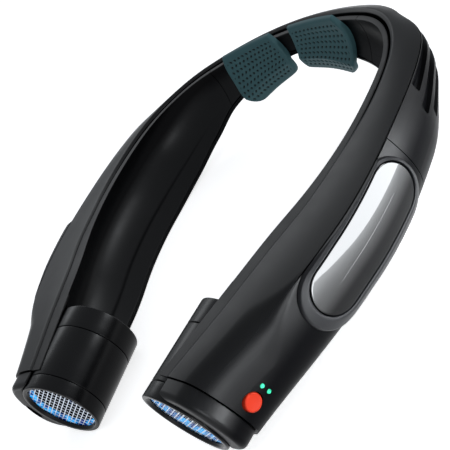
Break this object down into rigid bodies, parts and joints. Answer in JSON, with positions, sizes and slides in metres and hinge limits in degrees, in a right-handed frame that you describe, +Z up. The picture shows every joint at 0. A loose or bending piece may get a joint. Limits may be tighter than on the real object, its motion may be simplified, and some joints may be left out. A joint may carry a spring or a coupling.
{
  "type": "neck fan",
  "caption": "U-shaped wearable neck fan: a rounded collar with a ducted fan pod behind a mesh at each arm end, an air trough inside, rear vents, neck pads and a push button.",
  "frame": {"origin": "middle of the bottom of the bounding box, on the table that the collar lies on", "axes": "+Z up from the table, +Y towards the nape, -Y towards the open front, +X towards the wearer's left"},
  "size_m": [0.2046, 0.1921, 0.038],
  "materials": {
    "shell_plastic": "satin",
    "liner_plastic": "satin",
    "pad_silicone": "matte",
    "bezel_plastic": "satin",
    "panel_gloss": "gloss",
    "pod_plastic": "semi-gloss",
    "mesh_metal": "satin",
    "light_blue": "clear",
    "wheel_plastic": "satin",
    "shaft_steel": "ground",
    "bush_brass": "plain",
    "motor_steel": "plated",
    "cell_wrap": "wrapped",
    "button_red": "satin",
    "switch_black": "matte",
    "board_green": "satin",
    "light_green": "clear",
    "socket_steel": "plated",
    "wire_sleeve": "matte"
  },
  "bodies": {
    "collar": {"top_shell": "shell_plastic", "bottom_shell": "shell_plastic", "rear_cover": "shell_plastic", "left_side_cover": "shell_plastic", "right_side_cover": "shell_plastic", "nape_liner": "liner_plastic", "left_inner_liner": "liner_plastic", "right_inner_liner": "liner_plastic", "left_neck_pad": "pad_silicone", "right_neck_pad": "pad_silicone", "left_bezel": "bezel_plastic", "right_bezel": "bezel_plastic", "left_accent_panel": "panel_gloss", "right_accent_panel": "panel_gloss", "left_pod_barrel": "pod_plastic", "right_pod_barrel": "pod_plastic", "left_outlet_ring": "pod_plastic", "right_outlet_ring": "pod_plastic", "left_intake_ring": "pod_plastic", "right_intake_ring": "pod_plastic", "left_intake_mesh": "mesh_metal", "right_intake_mesh": "mesh_metal", "left_light_ring": "light_blue", "right_light_ring": "light_blue", "left_shaft_bush": "bush_brass", "right_shaft_bush": "bush_brass", "left_motor_can": "motor_steel", "right_motor_can": "motor_steel", "left_motor_mount": "wheel_plastic", "right_motor_mount": "wheel_plastic", "left_battery_cell": "cell_wrap", "right_battery_cell": "cell_wrap", "left_end_cap": "shell_plastic", "right_end_cap": "shell_plastic", "tact_switch": "switch_black", "control_board": "board_green", "indicator_lights": "light_green", "usb_socket": "socket_steel", "charge_board": "board_green", "wire_harness": "wire_sleeve", "motor_screws": "shaft_steel"},
    "left_fan": {"left_fan_wheel": "wheel_plastic", "left_motor_shaft": "shaft_steel"},
    "right_fan": {"right_fan_wheel": "wheel_plastic", "right_motor_shaft": "shaft_steel"},
    "button": {"power_button": "button_red"}
  },
  "joints": [
    {"name": "left_fan_spin", "type": "hinge", "parent": "collar", "child": "left_fan", "pos_m": [0.04264, -0.09265, 0.0168], "axis": [-0.1323, -0.9912, 0], "continuous": true},
    {"name": "right_fan_spin", "type": "hinge", "parent": "collar", "child": "right_fan", "pos_m": [-0.04264, -0.09265, 0.0168], "axis": [0.1323, -0.9912, 0], "continuous": true},
    {"name": "power_button_press", "type": "slide", "parent": "collar", "child": "button", "axis": [-0.9857, 0.1551, -0.0658], "range_m": [0, 0.0008], "stiffness_N_per_m": 1500}
  ]
}
